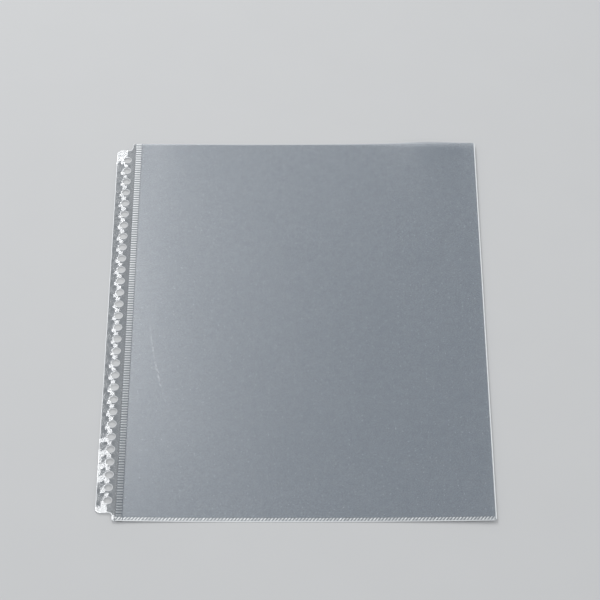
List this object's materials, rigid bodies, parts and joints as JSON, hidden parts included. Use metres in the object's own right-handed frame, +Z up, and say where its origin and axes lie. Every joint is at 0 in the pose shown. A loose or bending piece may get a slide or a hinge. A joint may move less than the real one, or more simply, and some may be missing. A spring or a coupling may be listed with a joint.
{
  "type": "sheet protector",
  "caption": "Clear film pocket for A4 sheets, open at the top, with a punched binding strip along one side and ribbed welds.",
  "frame": {"origin": "on the resting surface, under the middle of the outline", "axes": "+Y from the bottom weld to the open mouth, +X from the binding strip to the folded edge, +Z up from the table"},
  "size_m": [0.235, 0.305, 0.0005],
  "materials": {
    "film": "clear polypropylene film with a fine matte haze",
    "strip": "thicker clear polypropylene strip, glossy",
    "weld": "whitened by heat, pressed into fine bars"
  },
  "bodies": {
    "pocket": {"back_ply": "film", "fold_edge": "film", "strip_root": "strip", "side_weld": "weld", "bottom_weld": "weld"},
    "front": {"front_ply": "film"},
    "tab": {"binding_tab": "strip"}
  },
  "joints": [
    {"name": "mouth_open", "type": "hinge", "parent": "pocket", "child": "front", "pos_m": [0.007, -0.1494, 0.0004], "axis": [1, 0, 0], "range_deg": [0, 5]},
    {"name": "tab_flex", "type": "hinge", "parent": "pocket", "child": "tab", "pos_m": [-0.10565, 0, 0.00022], "axis": [0, 1, 0], "range_deg": [0, 100]}
  ]
}
